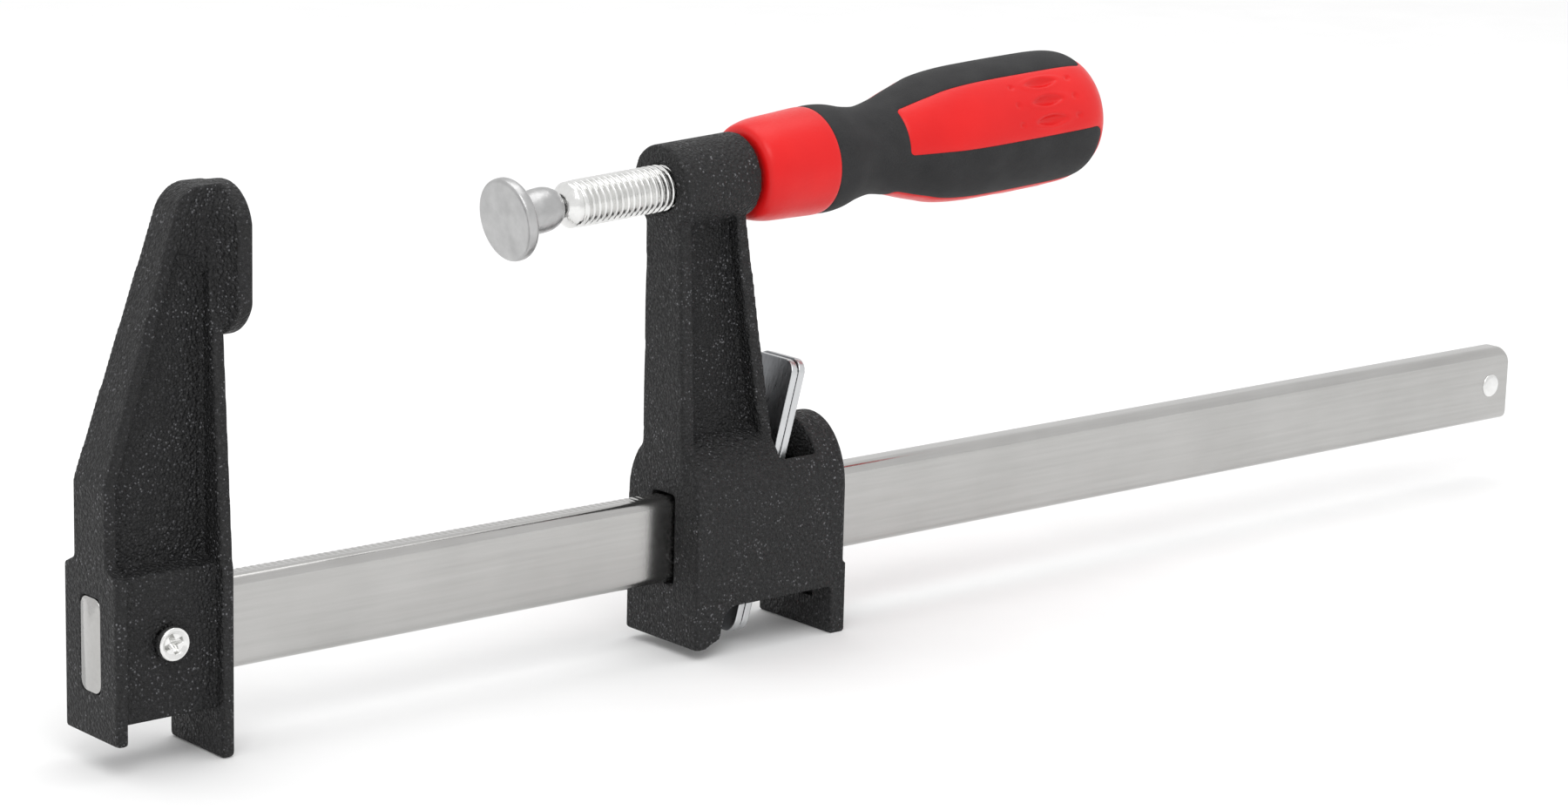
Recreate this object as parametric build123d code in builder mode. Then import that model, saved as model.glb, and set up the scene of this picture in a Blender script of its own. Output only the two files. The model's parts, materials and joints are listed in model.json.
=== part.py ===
from build123d import *
import math
import os

# Light-duty quick-release F clamp: flat steel bar, fixed jaw cast to its left end,
# sliding jaw with a tilting pair of clutch plates, screw spindle, swivel pad and
# two-component handle. Millimetres. X runs along the bar from the fixed jaw's
# outer face, Y is the width, Z = 0 is the underside of the bar.

# ---- bar ---------------------------------------------------------------
BAR_H = 19.0
BAR_T = 7.0
BAR_R = 2.1
BAR_X0 = 0.0
BAR_X1 = 416.7
BAR_END_R = 3.0
SERR_X0 = 30.0
SERR_X1 = 174.0
SERR_PITCH = 1.6
SERR_DEPTH = 0.25
MID_Z = BAR_H / 2

# ---- stop pin and jaw screw ---------------------------------------------
PIN_D = 5.9
PIN_X = 410.2
PIN_PROUD = 0.6
SCREW_X = 13.2
SCREW_SHANK_D = 4.0
SCREW_HOLE_D = 4.1
SCREW_HEAD_D = 7.0
SCREW_HEAD_H = 2.3
SCREW_CROSS_W = 1.1
SCREW_CROSS_L = 4.4
SCREW_CROSS_DEPTH = 1.3

# ---- fixed jaw ------------------------------------------------------------
JAW_W = 19.4
JAW_FACE_X = 26.6
JAW_OUT_T = 2.6
JAW_IN_T = 2.9
HOUSE_HALF = 7.2
JAW_SLOT_R = 1.2
HOUSE_TOP = 24.9
WEB_HALF = 3.0
WEB_BOTTOM = -5.6
FOOT_Z = -15.6
OUTER_LEG_Z = -9.1
ARM_BEND_Z = 41.5
ARM_TOP_Z = 97.4
PAD_FACE_X = 31.5
PAD_RIM_T = 3.8
PAD_ROOT_X = 24.2
PAD_HALF = 9.4
PAD_Z0 = 67.2
PAD_Z1 = 97.6

# ---- sliding jaw -----------------------------------------------------------
SL_X0 = 141.0
SL_X1 = 183.2
SL_HALF = 12.0
SL_WALL_Z = -4.9
SL_SPRING_Z = 17.0
SL_ARCH_H = 15.3
SL_FRONT_T = 5.5
SL_REAR_T = 4.2
SL_CAV_HALF = 8.0
SL_OPEN_HALF = 9.8
SL_CAV_TOP = 22.5
SL_OPEN_X0 = 165.4
SL_OPEN_X1 = 175.1
SL_LEG_Z = -13.4
SL_WEB_HALF = 2.5
SLOT_W = 7.5
SLOT_Z0 = -0.35
SLOT_Z1 = 19.35
ARM_HALF_LOW = 6.9
ARM_HALF_TOP = 5.7
ARM_JOIN_Z = 28.0
ARM_TOP = 80.0

# ---- screw axis --------------------------------------------------------------
AXIS_LEAN = 3.15
BOSS_X = 139.15
BOSS_Z = 85.66
BOSS_S0 = -0.5
BOSS_S1 = 19.8
BOSS_D = 18.3
THREAD_D = 10.0
THREAD_ROOT_D = 8.2
THREAD_PITCH = 1.5
THREAD_FOOT = 0.64
THREAD_CREST = 0.2
BORE_D = THREAD_D + 0.14
THREAD_S0 = -24.4
THREAD_S1 = 21.0
NOSE_S = -27.2
NECK_D = 4.2
BALL_S = -32.4
BALL_D = 6.0
NECK_RISE = math.sqrt((BALL_D / 2) ** 2 - (NECK_D / 2) ** 2)
SHANK_D = 7.6
SHANK_S1 = 74.0

# ---- swivel pad ---------------------------------------------------------------
PAD_TILT = 5.0
DISC_D = 17.5
DISC_T = 3.0
DISC_DEPTH = 9.1
HUB_D = 9.4
HUB_BACK = 4.4
HUB_MOUTH_D = 5.5
HUB_BORE_D = 6.75
SOCKET_D = 6.16
RING_T = 0.8
RING_Z = 1.95
RING_OUT_D = 6.2
RING_IN_D = 4.75

# ---- handle ----------------------------------------------------------------------
HANDLE_S0 = 21.3
HANDLE_S1 = 122.1
COLLAR_S1 = 40.0
GRIP_SKIN = 2.2
PANEL_S0 = 61.0
PANEL_CENTRE = 62.5
PANEL_SPAN = 60.5
PANEL_COUNT = 3
PANEL_REACH = 30.0
CAP_S0 = 116.2

# ---- clutch ------------------------------------------------------------------------
PLATE_T = 1.8
PLATE_GAP = 0.15
PLATE_HALF = 7.2
PLATE_CORNER = 3.2
PLATE_LEAN = 15.0
PLATE_X_FRONT = 161.28
PLATE_DOWN = 23.2
PLATE_UP = 37.4
PLATE_HOLE_H = 20.55
PLATE_HOLE_W = 7.4
SPRING_D = 3.9
SPRING_WIRE = 0.6
SPRING_Z = -2.6
SPRING_TURNS = 7
SPRING_X0 = 162.5
SPRING_X1 = 180.6

os.makedirs("parts", exist_ok=True)

AXIS = Plane(
    origin=(BOSS_X, 0, BOSS_Z),
    x_dir=(0, 1, 0),
    z_dir=(math.cos(math.radians(AXIS_LEAN)), 0, math.sin(math.radians(AXIS_LEAN))),
)
PAD_LEAN = math.radians(AXIS_LEAN + PAD_TILT)
PAD_AXIS = Plane(
    origin=AXIS.from_local_coords((0, 0, BALL_S)),
    x_dir=(0, 1, 0),
    z_dir=(math.cos(PAD_LEAN), 0, math.sin(PAD_LEAN)),
)
LEAN = math.radians(PLATE_LEAN)


def polar(radius, degrees):
    return (radius * math.cos(math.radians(degrees)), radius * math.sin(math.radians(degrees)))


def save(part, name):
    part.label = name
    export_step(part, f"parts/{name}.step")


# ======================= bar =======================
with BuildPart() as bar:
    with BuildSketch(Plane.YZ.offset(BAR_X0)):
        with Locations((0, MID_Z)):
            RectangleRounded(BAR_T, BAR_H, BAR_R)
    extrude(amount=BAR_X1 - BAR_X0)
    with BuildSketch(Plane.XZ):
        with BuildLine():
            Line((BAR_X1 - BAR_END_R, BAR_H + 1), (BAR_X1 + 1, BAR_H + 1))
            Line((BAR_X1 + 1, BAR_H + 1), (BAR_X1 + 1, BAR_H - BAR_END_R))
            Line((BAR_X1 + 1, BAR_H - BAR_END_R), (BAR_X1, BAR_H - BAR_END_R))
            ThreePointArc(
                (BAR_X1, BAR_H - BAR_END_R),
                (BAR_X1 - BAR_END_R * 0.293, BAR_H - BAR_END_R * 0.293),
                (BAR_X1 - BAR_END_R, BAR_H),
            )
            Line((BAR_X1 - BAR_END_R, BAR_H), (BAR_X1 - BAR_END_R, BAR_H + 1))
        make_face()
    extrude(amount=BAR_T, both=True, mode=Mode.SUBTRACT)
    serr_count = int((SERR_X1 - SERR_X0) / SERR_PITCH)
    with BuildSketch(Plane.XZ):
        with Locations(((SERR_X0 + SERR_X1) / 2, BAR_H)):
            with GridLocations(SERR_PITCH, 1, serr_count, 1):
                Polygon(
                    (-SERR_PITCH * 0.3, 0.1),
                    (0, -SERR_DEPTH),
                    (SERR_PITCH * 0.3, 0.1),
                    align=None,
                )
    extrude(amount=BAR_T, both=True, mode=Mode.SUBTRACT)
    for x, diameter in ((SCREW_X, SCREW_HOLE_D), (PIN_X, PIN_D)):
        with BuildSketch(Plane.XZ):
            with Locations((x, MID_Z)):
                Circle(diameter / 2)
        extrude(amount=BAR_T, both=True, mode=Mode.SUBTRACT)
save(bar.part, "bar")

# ======================= stop pin =======================
with BuildPart() as stop_pin:
    with BuildSketch(Plane.XZ):
        with Locations((PIN_X, MID_Z)):
            Circle(PIN_D / 2)
    extrude(amount=BAR_T / 2 + PIN_PROUD, both=True)
    fillet(stop_pin.edges().filter_by(GeomType.CIRCLE), 0.35)
save(stop_pin.part, "stop_pin")

# ======================= jaw screw =======================
with BuildPart() as jaw_screw:
    with BuildSketch(Plane.XZ.offset(HOUSE_HALF)):
        with Locations((SCREW_X, MID_Z)):
            Circle(SCREW_HEAD_D / 2)
    extrude(amount=SCREW_HEAD_H)
    fillet(jaw_screw.faces().sort_by(Axis.Y)[0].edges(), 1.3)
    with BuildSketch(Plane.XZ.offset(HOUSE_HALF)):
        with Locations((SCREW_X, MID_Z)):
            Circle(SCREW_SHANK_D / 2)
    extrude(amount=-(2 * HOUSE_HALF - 0.8))
    with BuildSketch(Plane.XZ.offset(HOUSE_HALF + SCREW_HEAD_H - SCREW_CROSS_DEPTH)):
        with Locations(Location((SCREW_X, MID_Z), 20)):
            Rectangle(SCREW_CROSS_L, SCREW_CROSS_W)
            Rectangle(SCREW_CROSS_W, SCREW_CROSS_L)
    extrude(amount=SCREW_CROSS_DEPTH + 1, mode=Mode.SUBTRACT)
save(jaw_screw.part, "jaw_screw")

# ======================= fixed jaw =======================
# outer flange: follows the sloping back of the arm, wide at the bar housing
with BuildPart() as outer_flange:
    with BuildSketch(Plane.XZ):
        with BuildLine():
            Polyline(
                (0, OUTER_LEG_Z),
                (0, ARM_BEND_Z),
                (17.2, 92.2),
            )
            ThreePointArc((17.2, 92.2), (19.3, 95.7), (23.2, ARM_TOP_Z))
            Polyline(
                (23.2, ARM_TOP_Z),
                (28.0, ARM_TOP_Z),
                (28.0, ARM_TOP_Z - 3.0),
                (23.5, ARM_TOP_Z - 3.2),
                (19.6, 91.0),
                (JAW_OUT_T, ARM_BEND_Z),
                (JAW_OUT_T, OUTER_LEG_Z),
                (0, OUTER_LEG_Z),
            )
        make_face()
    extrude(amount=JAW_W, both=True)
    with BuildSketch(Plane.YZ.offset(-1)):
        Polygon(
            (-JAW_W / 2, OUTER_LEG_Z - 1),
            (JAW_W / 2, OUTER_LEG_Z - 1),
            (JAW_W / 2, 24.0),
            (6.0, 25.8),
            (5.8, ARM_BEND_Z),
            (4.0, 93.0),
            (3.8, 100),
            (-3.8, 100),
            (-4.0, 93.0),
            (-5.8, ARM_BEND_Z),
            (-6.0, 25.8),
            (-JAW_W / 2, 24.0),
            align=None,
        )
    extrude(amount=60, mode=Mode.INTERSECT)
    fillet(outer_flange.edges().filter_by(Axis.Z).sort_by(Axis.X)[:4], 0.6)

# inner flange: square to the bar, carries the foot and runs up to the pad
with BuildPart() as inner_flange:
    with BuildSketch(Plane.YZ.offset(JAW_FACE_X - JAW_IN_T)):
        Polygon(
            (-JAW_W / 2, FOOT_Z),
            (JAW_W / 2, FOOT_Z),
            (JAW_W / 2, 22.5),
            (9.2, 24.0),
            (6.3, 70.0),
            (4.2, 92.0),
            (-4.2, 92.0),
            (-6.3, 70.0),
            (-9.2, 24.0),
            (-JAW_W / 2, 22.5),
            align=None,
        )
    extrude(amount=JAW_IN_T)
    fillet(inner_flange.edges().filter_by(Axis.Z), 0.6)
    fillet(inner_flange.edges().filter_by(Axis.Y).sort_by(Axis.Z)[:2], 0.8)

# clamping pad: stadium plate whose back tapers into the arm
with BuildPart() as clamp_pad:
    with BuildSketch(Plane.YZ.offset(PAD_FACE_X - PAD_RIM_T)):
        with BuildLine():
            ThreePointArc((PAD_HALF, 90.0), (0, PAD_Z1), (-PAD_HALF, 90.0))
            Line((-PAD_HALF, 90.0), (-PAD_HALF, 74.0))
            ThreePointArc((-PAD_HALF, 74.0), (0, PAD_Z0), (PAD_HALF, 74.0))
            Line((PAD_HALF, 74.0), (PAD_HALF, 90.0))
        make_face()
    extrude(amount=PAD_RIM_T)
    fillet(clamp_pad.faces().sort_by(Axis.X)[-1].edges(), 0.9)
    with BuildSketch(Plane.YZ.offset(PAD_FACE_X - PAD_RIM_T)):
        with BuildLine():
            ThreePointArc((PAD_HALF - 0.8, 90.0), (0, PAD_Z1 - 0.4), (-PAD_HALF + 0.8, 90.0))
            Line((-PAD_HALF + 0.8, 90.0), (-PAD_HALF + 0.8, 74.0))
            ThreePointArc((-PAD_HALF + 0.8, 74.0), (0, PAD_Z0 + 0.6), (PAD_HALF - 0.8, 74.0))
            Line((PAD_HALF - 0.8, 74.0), (PAD_HALF - 0.8, 90.0))
        make_face()
    with BuildSketch(Plane.YZ.offset(PAD_ROOT_X)):
        with BuildLine():
            ThreePointArc((3.9, 92.0), (0, 95.9), (-3.9, 92.0))
            Line((-3.9, 92.0), (-3.9, 73.5))
            ThreePointArc((-3.9, 73.5), (0, 69.6), (3.9, 73.5))
            Line((3.9, 73.5), (3.9, 92.0))
        make_face()
    loft()

with BuildPart() as fixed_jaw:
    # web of the arm, pocketed on both sides by the flanges
    with BuildSketch(Plane.XZ):
        with BuildLine():
            Polyline(
                (0.5, WEB_BOTTOM),
                (0.5, ARM_BEND_Z),
                (17.8, 92.2),
            )
            ThreePointArc((17.8, 92.2), (19.8, 95.3), (23.2, ARM_TOP_Z - 0.6))
            Polyline(
                (23.2, ARM_TOP_Z - 0.6),
                (29.0, ARM_TOP_Z - 0.6),
                (29.0, 69.0),
                (JAW_FACE_X - 0.5, 66.5),
                (JAW_FACE_X - 0.5, WEB_BOTTOM),
                (0.5, WEB_BOTTOM),
            )
        make_face()
    extrude(amount=WEB_HALF, both=True)
    # bar housing with outward-sloping shoulders
    with BuildSketch(Plane.YZ.offset(0.6)):
        Polygon(
            (-HOUSE_HALF, WEB_BOTTOM),
            (HOUSE_HALF, WEB_BOTTOM),
            (HOUSE_HALF, HOUSE_TOP - 1.4),
            (WEB_HALF, HOUSE_TOP),
            (-WEB_HALF, HOUSE_TOP),
            (-HOUSE_HALF, HOUSE_TOP - 1.4),
            align=None,
        )
    extrude(amount=JAW_FACE_X - 1.2)
    # head of the arm, solid above the pockets
    with BuildSketch(Plane.XZ):
        with BuildLine():
            Polyline((14.6, 84.0), (17.6, 92.2))
            ThreePointArc((17.6, 92.2), (19.6, 95.4), (23.2, ARM_TOP_Z - 0.4))
            Polyline(
                (23.2, ARM_TOP_Z - 0.4),
                (28.5, ARM_TOP_Z - 0.4),
                (28.5, 80.0),
                (23.7, 80.0),
            )
            ThreePointArc((23.7, 80.0), (19.8, 84.6), (14.6, 84.0))
        make_face()
    extrude(amount=3.9, both=True)
    add(outer_flange.part)
    add(inner_flange.part)
    add(clamp_pad.part)
    # bar slot, with tighter corners than the bar's own
    with BuildSketch(Plane.YZ.offset(-5)):
        with Locations((0, MID_Z)):
            RectangleRounded(BAR_T, BAR_H, JAW_SLOT_R)
    extrude(amount=JAW_FACE_X + 10, mode=Mode.SUBTRACT)
    # blind hole for the jaw screw
    with BuildSketch(Plane.XZ.offset(JAW_W)):
        with Locations((SCREW_X, MID_Z)):
            Circle(SCREW_HOLE_D / 2)
    extrude(amount=-(JAW_W + HOUSE_HALF - 0.7), mode=Mode.SUBTRACT)
save(fixed_jaw.part, "fixed_jaw")

# ======================= sliding jaw =======================
with BuildPart() as slide_front_flange:
    with BuildSketch(Plane.XZ):
        Polygon(
            (SL_X0, 20.0),
            (SL_X0 - 0.5, ARM_JOIN_Z),
            (SL_X0 - 1.6, ARM_TOP),
            (SL_X0 + 1.7, ARM_TOP),
            (SL_X0 + 2.9, ARM_JOIN_Z),
            (SL_X0 + 3.4, 20.0),
            align=None,
        )
    extrude(amount=20, both=True)
    with BuildSketch(Plane.YZ.offset(SL_X0 - 5)):
        Polygon(
            (-ARM_HALF_LOW, 15),
            (ARM_HALF_LOW, 15),
            (ARM_HALF_LOW, ARM_JOIN_Z),
            (ARM_HALF_TOP, ARM_TOP),
            (-ARM_HALF_TOP, ARM_TOP),
            (-ARM_HALF_LOW, ARM_JOIN_Z),
            align=None,
        )
    extrude(amount=20, mode=Mode.INTERSECT)

with BuildPart() as slide_rear_flange:
    with BuildSketch(Plane.XZ):
        Polygon(
            (162.6, 22.5),
            (162.4, 30.0),
            (160.2, 42.0),
            (155.9, 68.7),
            (154.8, ARM_TOP),
            (157.4, ARM_TOP),
            (159.2, 68.7),
            (163.4, 42.0),
            (165.5, 30.0),
            (165.6, 22.5),
            align=None,
        )
    extrude(amount=20, both=True)
    with BuildSketch(Plane.YZ.offset(150)):
        Polygon(
            (-ARM_HALF_LOW, 15),
            (ARM_HALF_LOW, 15),
            (ARM_HALF_LOW, ARM_JOIN_Z),
            (ARM_HALF_TOP, ARM_TOP),
            (-ARM_HALF_TOP, ARM_TOP),
            (-ARM_HALF_LOW, ARM_JOIN_Z),
            align=None,
        )
    extrude(amount=20, mode=Mode.INTERSECT)

with BuildPart() as sliding_jaw:
    # arched body over the bar
    with BuildSketch(Plane.YZ.offset(SL_X0)):
        with BuildLine():
            Polyline(
                (-SL_HALF, SL_SPRING_Z),
                (-SL_HALF, SL_WALL_Z),
                (SL_HALF, SL_WALL_Z),
                (SL_HALF, SL_SPRING_Z),
            )
            EllipticalCenterArc((0, SL_SPRING_Z), SL_HALF, SL_ARCH_H, arc_size=180)
        make_face()
    extrude(amount=SL_X1 - SL_X0)
    fillet(sliding_jaw.faces().sort_by(Axis.X)[-1].edges().sort_by(Axis.Z)[-3:], 1.5)
    # clutch chamber, open below
    with BuildSketch(Plane.XZ):
        Polygon(
            (SL_X0 + SL_FRONT_T + 3.0, SL_WALL_Z - 1),
            (SL_X0 + SL_FRONT_T + 3.0, 4.0),
            (SL_X0 + SL_FRONT_T + 6.0, SL_CAV_TOP - 3),
            (SL_X0 + SL_FRONT_T + 9.0, SL_CAV_TOP),
            (SL_OPEN_X0, SL_CAV_TOP),
            (SL_X1 - SL_REAR_T, SL_CAV_TOP),
            (SL_X1 - SL_REAR_T, SL_WALL_Z - 1),
            align=None,
        )
    extrude(amount=SL_CAV_HALF, both=True, mode=Mode.SUBTRACT)
    # legs
    with BuildSketch(Plane.XZ):
        Polygon(
            (SL_X0, 0),
            (SL_X0, SL_LEG_Z + 0.4),
            (SL_X0 + 0.5, SL_LEG_Z),
            (SL_X0 + 2.6, SL_LEG_Z),
            (SL_X0 + 6.8, SL_LEG_Z + 1.8),
            (SL_X0 + 7.5, SL_LEG_Z + 4.5),
            (SL_X0 + 8.2, SL_WALL_Z - 1.6),
            (SL_X0 + 9.6, SL_WALL_Z - 0.4),
            (SL_X0 + 11.5, SL_WALL_Z),
            (SL_X0 + SL_FRONT_T + 3.0, 0),
            align=None,
        )
    extrude(amount=SL_HALF, both=True)
    with BuildSketch(Plane.XZ):
        Polygon(
            (SL_X1 - SL_REAR_T, 0),
            (SL_X1 - SL_REAR_T, FOOT_Z + 0.6),
            (SL_X1 - SL_REAR_T + 0.5, FOOT_Z),
            (SL_X1 - 0.4, FOOT_Z),
            (SL_X1, FOOT_Z + 0.4),
            (SL_X1, 0),
            align=None,
        )
    extrude(amount=SL_HALF, both=True)
    # arm: web between the two flanges, then the screw boss
    with BuildSketch(Plane.XZ):
        Polygon(
            (SL_X0 + 1, 24),
            (SL_X0 - 1, ARM_TOP),
            (156.5, ARM_TOP),
            (158.0, 68.7),
            (162.4, 42.0),
            (164.6, 30.0),
            (164.8, 24),
            align=None,
        )
    extrude(amount=SL_WEB_HALF, both=True)
    add(slide_front_flange.part)
    add(slide_rear_flange.part)
    with BuildSketch(AXIS.offset(BOSS_S0)):
        Circle(BOSS_D / 2)
    extrude(amount=BOSS_S1 - BOSS_S0)
    with BuildSketch(AXIS.offset(BOSS_S0 - 1)):
        Circle(BORE_D / 2)
    extrude(amount=BOSS_S1 - BOSS_S0 + 2, mode=Mode.SUBTRACT)
    # opening through the arch for the upper ends of the clutch plates
    with BuildSketch(Plane.XZ):
        Polygon(
            (SL_OPEN_X0 - 1.4, SL_CAV_TOP - 0.5),
            (SL_OPEN_X0, 27.5),
            (SL_OPEN_X0, 40.0),
            (SL_OPEN_X1 - 0.6, 40.0),
            (SL_OPEN_X1 - 0.3, 32.0),
            (SL_OPEN_X1, 27.0),
            (SL_OPEN_X1 + 0.8, SL_CAV_TOP - 0.5),
            align=None,
        )
    extrude(amount=SL_OPEN_HALF, both=True, mode=Mode.SUBTRACT)
    # bar slots in the front and rear walls
    with BuildSketch(Plane.YZ.offset(SL_X0 - 2)):
        with Locations((0, (SLOT_Z0 + SLOT_Z1) / 2)):
            Rectangle(SLOT_W, SLOT_Z1 - SLOT_Z0)
    extrude(amount=SL_X1 - SL_X0 + 4, mode=Mode.SUBTRACT)
    # relief under the bar in the rear leg
    with BuildSketch(Plane.YZ.offset(SL_X1 - SL_REAR_T - 1)):
        with Locations((0, -4.2)):
            Rectangle(11.4, 8.4)
    extrude(amount=3.0, mode=Mode.SUBTRACT)
save(sliding_jaw.part, "sliding_jaw")

# ======================= spindle =======================
with BuildPart() as spindle:
    with BuildSketch(Plane.XZ) as spindle_half:
        with BuildLine():
            Polyline(
                (0, BALL_S - BALL_D / 2),
                (0, SHANK_S1),
                (SHANK_D / 2 - 0.8, SHANK_S1),
                (SHANK_D / 2, SHANK_S1 - 0.8),
                (SHANK_D / 2, THREAD_S1),
                (THREAD_ROOT_D / 2, THREAD_S1 - 0.2),
                (THREAD_ROOT_D / 2, THREAD_S0 - 0.4),
                (NECK_D / 2 + 0.5, NOSE_S),
                (NECK_D / 2, NOSE_S),
                (NECK_D / 2, BALL_S + NECK_RISE),
            )
            ThreePointArc(
                (NECK_D / 2, BALL_S + NECK_RISE),
                (BALL_D / 2, BALL_S),
                (0, BALL_S - BALL_D / 2),
            )
        make_face()
    revolve(axis=Axis.Z)
    with BuildLine():
        thread_path = Helix(
            pitch=THREAD_PITCH,
            height=THREAD_S1 - THREAD_S0 - 1.5 * THREAD_PITCH,
            radius=THREAD_ROOT_D / 2 - 0.05,
            center=(0, 0, THREAD_S0 + THREAD_PITCH / 2),
        )
    with BuildSketch(Plane(origin=thread_path @ 0, x_dir=(1, 0, 0), z_dir=thread_path % 0)):
        Polygon(
            (0, -THREAD_FOOT),
            ((THREAD_D - THREAD_ROOT_D) / 2 + 0.05, -THREAD_CREST),
            ((THREAD_D - THREAD_ROOT_D) / 2 + 0.05, THREAD_CREST),
            (0, THREAD_FOOT),
            align=None,
        )
    sweep(path=thread_path, is_frenet=True)
spindle_placed = AXIS.from_local_coords(spindle.part)
save(spindle_placed, "spindle")

# ======================= retaining ring =======================
# split ring in the pad's hub, behind the ball
with BuildPart() as pad_ring:
    with BuildSketch(Plane.XY.offset(RING_Z)):
        Circle(RING_OUT_D / 2)
        Circle(RING_IN_D / 2, mode=Mode.SUBTRACT)
        with Locations((0, -RING_OUT_D / 2)):
            Rectangle(1.2, RING_OUT_D, mode=Mode.SUBTRACT)
    extrude(amount=RING_T)
save(AXIS.offset(BALL_S).from_local_coords(pad_ring.part), "pad_ring")

# ======================= swivel pad =======================
with BuildPart() as swivel_pad:
    with BuildSketch(Plane.XZ):
        with BuildLine():
            Polyline(
                (0, -DISC_DEPTH),
                (DISC_D / 2 - 0.7, -DISC_DEPTH),
                (DISC_D / 2, -DISC_DEPTH + 0.7),
                (DISC_D / 2, -DISC_DEPTH + 2.1),
                (DISC_D / 2 - 1.2, -DISC_DEPTH + DISC_T),
                (HUB_D / 2 - 0.1, -DISC_DEPTH + DISC_T + 0.5),
                (HUB_D / 2 - 0.5, -4.6),
                (HUB_D / 2, -1.6),
                (HUB_D / 2, 1.4),
                (HUB_D / 2 - 0.25, HUB_BACK - 1.9),
                (HUB_D / 2 - 0.85, HUB_BACK - 0.8),
                (HUB_MOUTH_D / 2 + 0.4, HUB_BACK),
                (HUB_MOUTH_D / 2, HUB_BACK),
                (HUB_MOUTH_D / 2, HUB_BACK - 0.9),
                (HUB_BORE_D / 2, HUB_BACK - 1.2),
                (HUB_BORE_D / 2, 0.9),
                (SOCKET_D / 2, 0.5),
                (SOCKET_D / 2, 0),
            )
            CenterArc((0, 0), SOCKET_D / 2, -90, 90)
            Line((0, -SOCKET_D / 2), (0, -DISC_DEPTH))
        make_face()
    revolve(axis=Axis.Z)
save(PAD_AXIS.from_local_coords(swivel_pad.part), "swivel_pad")

# ======================= handle =======================
GRIP_PROFILE = [
    (11.85, COLLAR_S1),
    (11.6, 45.0),
    (10.4, 50.0),
    (9.8, 54.5),
    (10.1, 58.0),
    (11.0, 62.0),
    (12.2, 66.0),
    (13.15, 69.5),
    (14.3, 74.0),
    (15.0, 81.0),
    (15.2, 90.0),
    (15.2, 103.0),
    (15.1, 109.0),
    (14.8, 112.6),
    (14.1, 115.3),
    (12.7, 117.5),
    (10.4, 119.2),
    (7.4, 120.6),
    (3.8, 121.65),
    (0, HANDLE_S1),
]

COLLAR_PROFILE = [(9.6, HANDLE_S0), (10.6, 23.0), (11.2, 26.2), (11.5, 32.0), (11.85, COLLAR_S1)]

with BuildPart() as grip_body:
    with BuildSketch(Plane.XZ):
        with BuildLine():
            Spline(GRIP_PROFILE, tangents=((0, 1), (-1, 0)))
            Polyline((0, HANDLE_S1), (0, COLLAR_S1), (GRIP_PROFILE[0][0], COLLAR_S1))
        make_face()
    revolve(axis=Axis.Z)

# red panels: three sectors of the grip, joined by the rounded end cap
with BuildPart() as panels:
    with BuildSketch(Plane.XY.offset(PANEL_S0)):
        for index in range(PANEL_COUNT):
            centre = 90 + PANEL_CENTRE + index * 360 / PANEL_COUNT
            with BuildLine():
                start = polar(PANEL_REACH, centre - PANEL_SPAN / 2)
                end = polar(PANEL_REACH, centre + PANEL_SPAN / 2)
                Polyline((0, 0), start, end, (0, 0))
            make_face()
    extrude(amount=HANDLE_S1 - PANEL_S0 + 1)
    with BuildSketch(Plane.XY.offset(CAP_S0)):
        Circle(PANEL_REACH)
    extrude(amount=HANDLE_S1 - CAP_S0 + 1)
    add(grip_body.part, mode=Mode.INTERSECT)

# collar, then the hard core under the soft skin
core_points = [(r - GRIP_SKIN, z) for r, z in GRIP_PROFILE if z < CAP_S0]
with BuildPart() as core_blank:
    with BuildSketch(Plane.XZ):
        with BuildLine():
            Polyline((0, HANDLE_S0), (COLLAR_PROFILE[0][0], HANDLE_S0))
            Spline(COLLAR_PROFILE, tangents=((0.6, 0.8), (0.02, 1)))
            Line(COLLAR_PROFILE[-1], core_points[0])
            Polyline(core_points)
            Polyline(core_points[-1], (core_points[-1][0], CAP_S0 + 1), (0, CAP_S0 + 1), (0, HANDLE_S0))
        make_face()
    revolve(axis=Axis.Z)
    add(panels.part)

with BuildPart() as handle_core:
    add(core_blank.part)
    # bore for the spindle's shank, opened out at the mouth for the thread
    with BuildSketch(Plane.XY.offset(HANDLE_S0 - 1)):
        Circle(SHANK_D / 2)
    extrude(amount=SHANK_S1 - HANDLE_S0 + 1.5, mode=Mode.SUBTRACT)
    with BuildSketch(Plane.XY.offset(HANDLE_S0 - 1)):
        Circle(THREAD_D / 2 + 0.1)
    extrude(amount=1.6, mode=Mode.SUBTRACT)
save(AXIS.from_local_coords(handle_core.part), "handle_core")

with BuildPart() as handle_grip:
    add(grip_body.part)
    add(core_blank.part, mode=Mode.SUBTRACT)
save(AXIS.from_local_coords(handle_grip.part), "handle_grip")

# ======================= clutch plates =======================
for index, name in enumerate(("clutch_plate_front", "clutch_plate_rear")):
    x_mid = PLATE_X_FRONT + (PLATE_T / 2 + index * (PLATE_T + PLATE_GAP)) / math.cos(LEAN)
    plate_plane = Plane(
        origin=(x_mid, 0, MID_Z),
        x_dir=(0, 1, 0),
        z_dir=(math.cos(LEAN), 0, -math.sin(LEAN)),
    )
    with BuildPart() as plate:
        with BuildSketch(plate_plane):
            with Locations((0, (PLATE_UP - PLATE_DOWN) / 2)):
                RectangleRounded(2 * PLATE_HALF, PLATE_UP + PLATE_DOWN, PLATE_CORNER)
            Rectangle(PLATE_HOLE_W, PLATE_HOLE_H, mode=Mode.SUBTRACT)
        extrude(amount=PLATE_T / 2, both=True)
    save(plate.part, name)

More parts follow.
